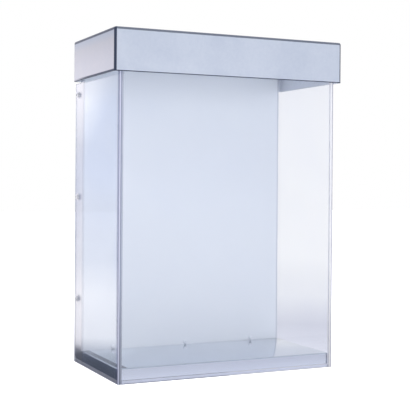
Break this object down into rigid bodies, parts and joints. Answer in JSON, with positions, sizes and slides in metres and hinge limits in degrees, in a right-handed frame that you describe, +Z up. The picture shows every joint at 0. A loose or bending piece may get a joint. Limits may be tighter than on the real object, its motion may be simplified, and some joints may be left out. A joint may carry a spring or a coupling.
{
  "type": "display case",
  "caption": "Tall clear display case with a raised sheet floor, a screwed-in back panel on a square-tube frame, and a folded-sheet cap that lifts straight off.",
  "frame": {"origin": "middle of the footprint, cap overhang included, on the surface the case stands on", "axes": "+Z up, +X along the width, front faces -Y"},
  "size_m": [0.37, 0.206, 0.5],
  "materials": {
    "clear_acrylic": "polished",
    "silver_sheet": "satin",
    "back_sheet": "satin",
    "frame_tube": "satin",
    "screw_steel": "satin",
    "nylon": "matte"
  },
  "bodies": {
    "case": {"back_panel": "back_sheet", "back_screw_1": "screw_steel", "back_screw_2": "screw_steel", "back_screw_3": "screw_steel", "base_plate": "clear_acrylic", "floor_tray": "silver_sheet", "front_panel": "clear_acrylic", "rear_post_left": "frame_tube", "rear_post_right": "frame_tube", "rear_rail_bottom": "frame_tube", "rear_rail_top": "frame_tube", "side_panel_left": "clear_acrylic", "side_panel_right": "clear_acrylic", "side_screw_left_1": "screw_steel", "side_screw_left_2": "screw_steel", "side_screw_left_3": "screw_steel", "side_screw_right_1": "screw_steel", "side_screw_right_2": "screw_steel", "side_screw_right_3": "screw_steel", "side_washer_left_1": "screw_steel", "side_washer_left_2": "screw_steel", "side_washer_left_3": "screw_steel", "side_washer_right_1": "screw_steel", "side_washer_right_2": "screw_steel", "side_washer_right_3": "screw_steel"},
    "cap": {"cap_guide_front_left": "nylon", "cap_guide_front_right": "nylon", "cap_guide_rear_left": "nylon", "cap_guide_rear_right": "nylon", "cap_shell": "silver_sheet"}
  },
  "joints": [
    {"name": "cap_lift", "type": "slide", "parent": "case", "child": "cap", "axis": [0, 0, 1], "range_m": [0, 0.15]}
  ]
}
